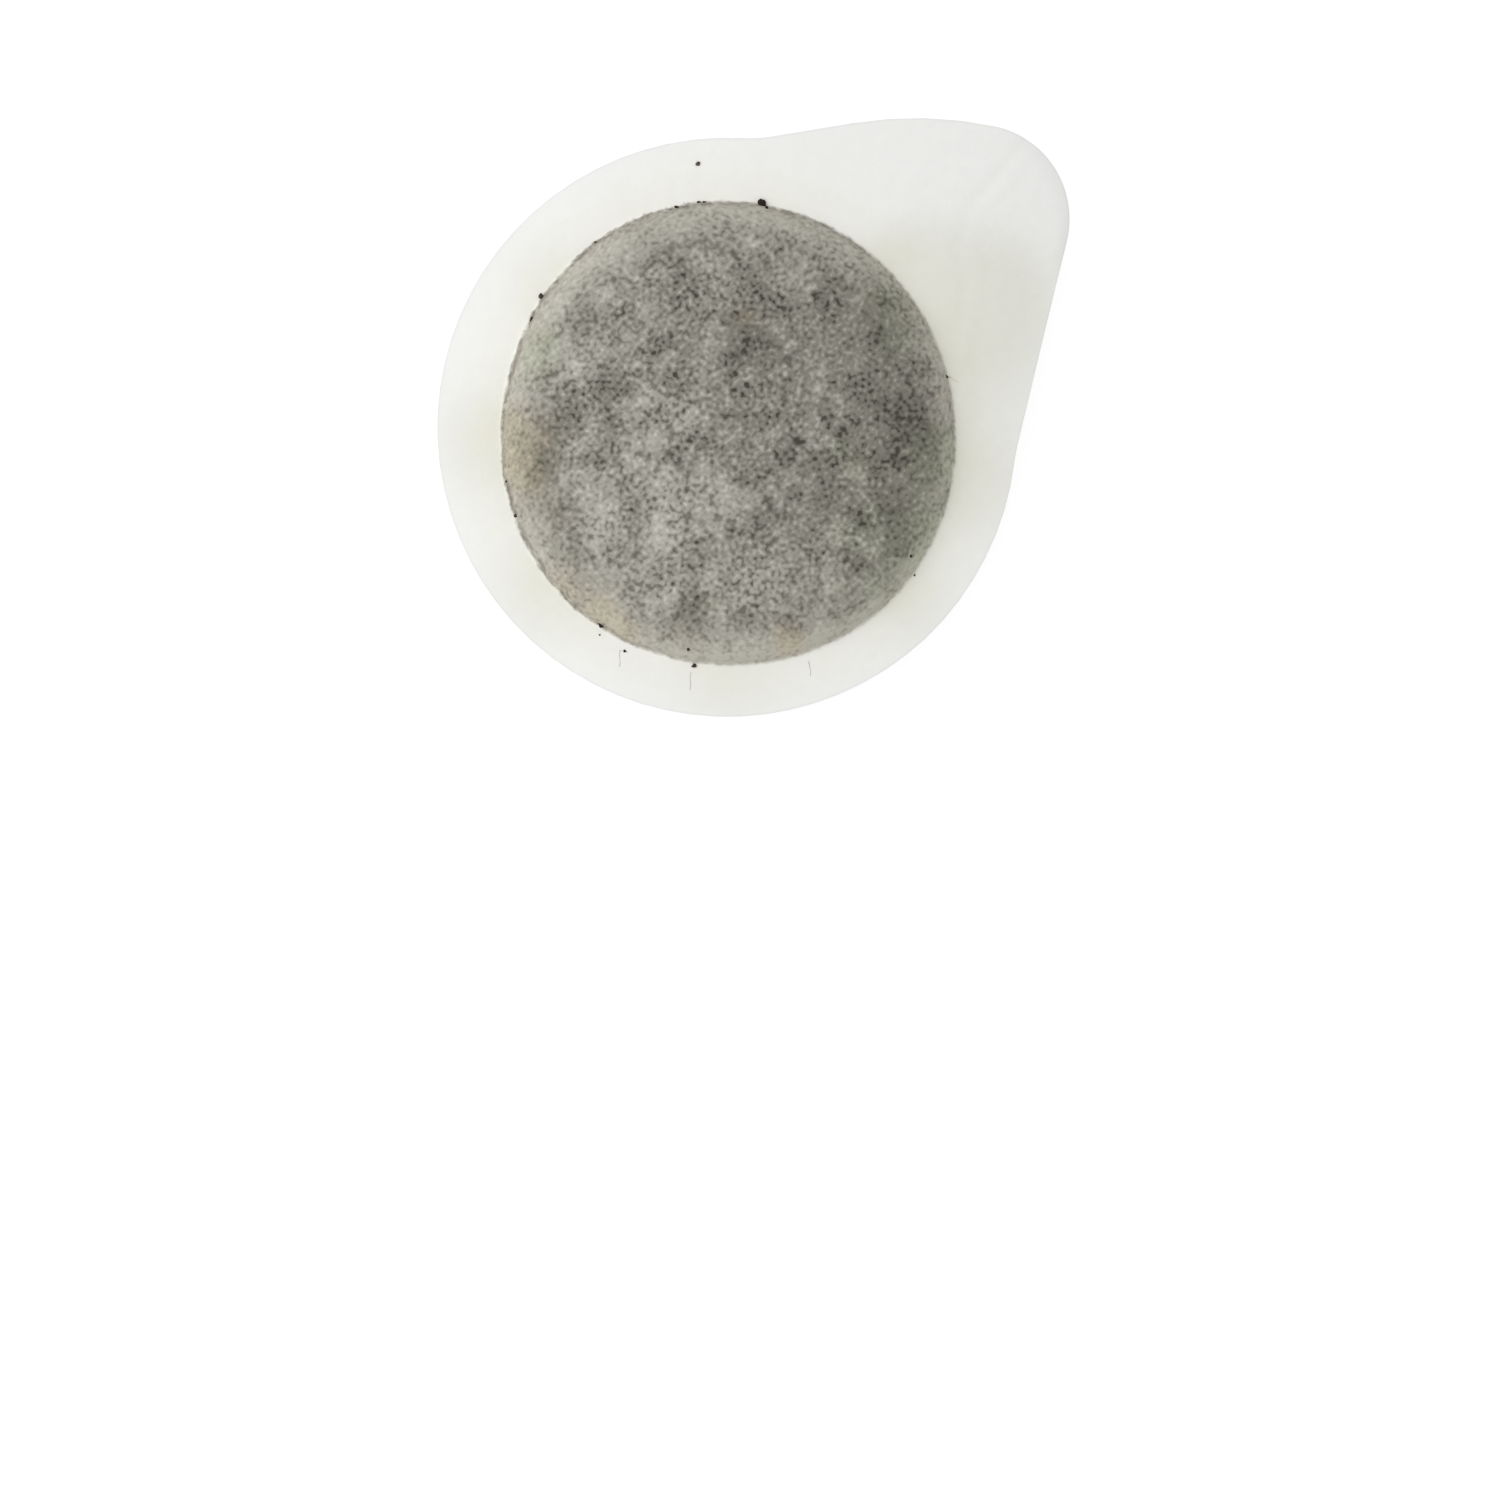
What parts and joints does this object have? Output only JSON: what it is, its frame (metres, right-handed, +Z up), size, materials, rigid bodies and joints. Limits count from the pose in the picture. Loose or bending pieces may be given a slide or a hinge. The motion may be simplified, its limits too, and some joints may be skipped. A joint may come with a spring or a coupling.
{
  "type": "espresso pod",
  "caption": "Single-serve espresso pod: a pressed round puck of ground coffee sealed between two formed filter papers, with a flat collar and a pull tab.",
  "frame": {"origin": "centre of the cup's flat floor, on the axis of the cup", "axes": "+Z up, out of the domed cap; +X from the cup's axis towards the pull tab"},
  "size_m": [0.0677, 0.0553, 0.0098],
  "materials": {
    "upper_paper": "matt off-white filter paper; the coffee shows through it",
    "lower_paper": "matt off-white filter paper; the coffee shows through it",
    "ground_coffee": "matt pressed ground coffee"
  },
  "bodies": {
    "root": {"upper_filter_paper": "upper_paper", "lower_filter_paper": "lower_paper", "coffee_puck": "ground_coffee"}
  },
  "joints": []
}
